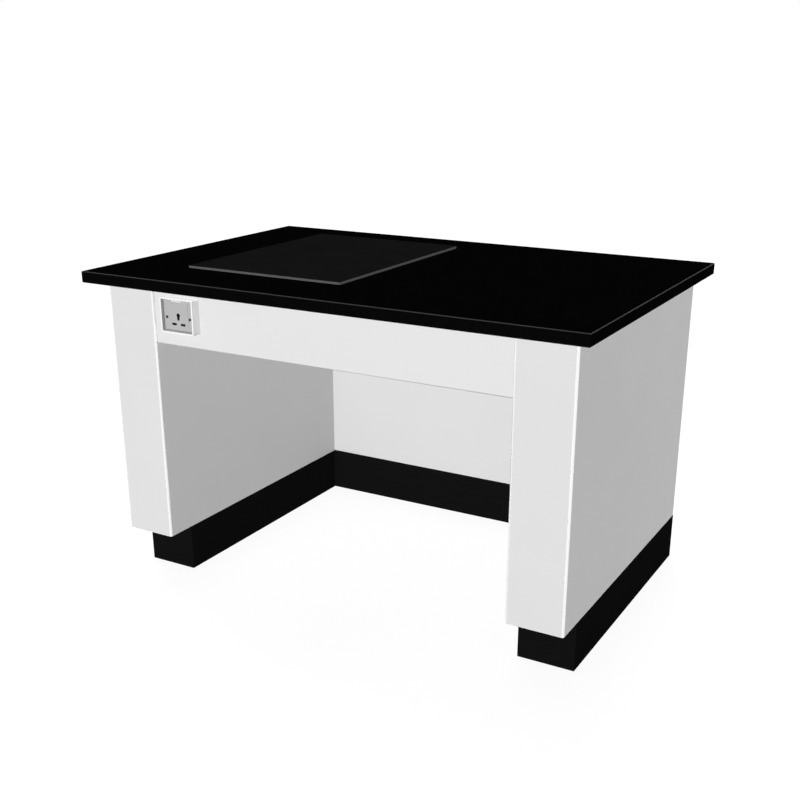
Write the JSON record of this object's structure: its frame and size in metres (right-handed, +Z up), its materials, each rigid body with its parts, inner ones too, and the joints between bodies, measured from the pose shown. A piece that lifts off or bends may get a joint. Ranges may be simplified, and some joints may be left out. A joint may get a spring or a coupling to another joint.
{
  "type": "weighing balance table",
  "caption": "Pedestal table for a laboratory balance: black stone worktop with a separate weighing slab on rubber isolators, white steel sides, recessed plinth and a front mains socket.",
  "frame": {"origin": "on the floor, under the middle of the worktop", "axes": "+X along the worktop's width to the user's right, +Y from the front to the rear, +Z up"},
  "size_m": [1.2, 0.8, 0.745],
  "materials": {
    "worktop_stone": "honed black engineered stone, chamfered edges",
    "slab_stone": "honed black granite, chamfered edges",
    "white_enamel": "white powder coat on folded steel sheet, satin",
    "plinth_black": "black compact laminate board, matt",
    "frame_steel": "grey powder coat on square steel tube",
    "zinc_steel": "bright zinc plate",
    "black_rubber": "matt black moulded rubber",
    "white_plastic": "white moulded plastic, semi-gloss",
    "grey_plastic": "light grey moulded plastic, fine texture",
    "brass": "bare brass"
  },
  "bodies": {
    "table": {"worktop": "worktop_stone", "apron": "white_enamel", "modesty_panel": "white_enamel", "left_pedestal_shell": "white_enamel", "left_rear_cover": "white_enamel", "right_pedestal_shell": "white_enamel", "right_rear_cover": "white_enamel", "rear_plinth": "plinth_black", "left_plinth_front": "plinth_black", "left_plinth_outer": "plinth_black", "left_plinth_inner": "plinth_black", "right_plinth_front": "plinth_black", "right_plinth_outer": "plinth_black", "right_plinth_inner": "plinth_black", "front_cross_rail": "frame_steel", "rear_cross_rail": "frame_steel", "left_slab_bearer": "frame_steel", "left_base_plate": "frame_steel", "left_front_post": "frame_steel", "left_rear_post": "frame_steel", "left_top_rail": "frame_steel", "left_foot_rail": "frame_steel", "right_slab_bearer": "frame_steel", "right_base_plate": "frame_steel", "right_front_post": "frame_steel", "right_rear_post": "frame_steel", "right_top_rail": "frame_steel", "right_foot_rail": "frame_steel", "plate_screw_left": "zinc_steel", "plate_screw_right": "zinc_steel", "bearer_bolt_front_left": "zinc_steel", "bearer_bolt_rear_left": "zinc_steel", "bearer_bolt_front_right": "zinc_steel", "bearer_bolt_rear_right": "zinc_steel", "lock_nut_front_left": "zinc_steel", "lock_nut_rear_left": "zinc_steel", "lock_nut_front_right": "zinc_steel", "lock_nut_rear_right": "zinc_steel", "cable_grommet": "black_rubber", "isolator_front_left": "black_rubber", "isolator_rear_left": "black_rubber", "isolator_front_right": "black_rubber", "isolator_rear_right": "black_rubber", "socket_collar": "white_plastic", "socket_face_plate": "grey_plastic", "socket_module": "grey_plastic", "earth_contact": "brass", "neutral_contact": "brass", "line_contact": "brass"},
    "weighing_platform": {"weighing_slab": "slab_stone", "slab_carrier_plate": "zinc_steel"},
    "foot_pad_front_left": {"foot_pad_front_left": "black_rubber"},
    "foot_stem_front_left": {"foot_stem_front_left": "zinc_steel"},
    "foot_pad_rear_left": {"foot_pad_rear_left": "black_rubber"},
    "foot_stem_rear_left": {"foot_stem_rear_left": "zinc_steel"},
    "foot_pad_front_right": {"foot_pad_front_right": "black_rubber"},
    "foot_stem_front_right": {"foot_stem_front_right": "zinc_steel"},
    "foot_pad_rear_right": {"foot_pad_rear_right": "black_rubber"},
    "foot_stem_rear_right": {"foot_stem_rear_right": "zinc_steel"}
  },
  "joints": [
    {"name": "slab_float", "type": "slide", "parent": "table", "child": "weighing_platform", "axis": [0, 0, 1], "range_m": [-0.003, 0], "stiffness_N_per_m": 95000, "springref_m": 0.00399, "deforming": ["isolator_front_left", "isolator_rear_left", "isolator_front_right", "isolator_rear_right"]},
    {"name": "foot_lift_front_left", "type": "slide", "parent": "table", "child": "foot_pad_front_left", "axis": [0, 0, -1], "range_m": [0, 0.014]},
    {"name": "foot_turn_front_left", "type": "hinge", "parent": "foot_pad_front_left", "child": "foot_stem_front_left", "pos_m": [-0.5, -0.212, 0], "axis": [0, 0, -1], "range_deg": [0, 2880]},
    {"name": "foot_lift_rear_left", "type": "slide", "parent": "table", "child": "foot_pad_rear_left", "axis": [0, 0, -1], "range_m": [0, 0.014]},
    {"name": "foot_turn_rear_left", "type": "hinge", "parent": "foot_pad_rear_left", "child": "foot_stem_rear_left", "pos_m": [-0.5, 0.3, 0], "axis": [0, 0, -1], "range_deg": [0, 2880]},
    {"name": "foot_lift_front_right", "type": "slide", "parent": "table", "child": "foot_pad_front_right", "axis": [0, 0, -1], "range_m": [0, 0.014]},
    {"name": "foot_turn_front_right", "type": "hinge", "parent": "foot_pad_front_right", "child": "foot_stem_front_right", "pos_m": [0.5, -0.212, 0], "axis": [0, 0, -1], "range_deg": [0, 2880]},
    {"name": "foot_lift_rear_right", "type": "slide", "parent": "table", "child": "foot_pad_rear_right", "axis": [0, 0, -1], "range_m": [0, 0.014]},
    {"name": "foot_turn_rear_right", "type": "hinge", "parent": "foot_pad_rear_right", "child": "foot_stem_rear_right", "pos_m": [0.5, 0.3, 0], "axis": [0, 0, -1], "range_deg": [0, 2880]}
  ],
  "couplings": [
    {"joint": "foot_turn_front_left", "follows": "foot_lift_front_left", "rad_per_m": 3590.4},
    {"joint": "foot_turn_rear_left", "follows": "foot_lift_rear_left", "rad_per_m": 3590.4},
    {"joint": "foot_turn_front_right", "follows": "foot_lift_front_right", "rad_per_m": 3590.4},
    {"joint": "foot_turn_rear_right", "follows": "foot_lift_rear_right", "rad_per_m": 3590.4}
  ]
}
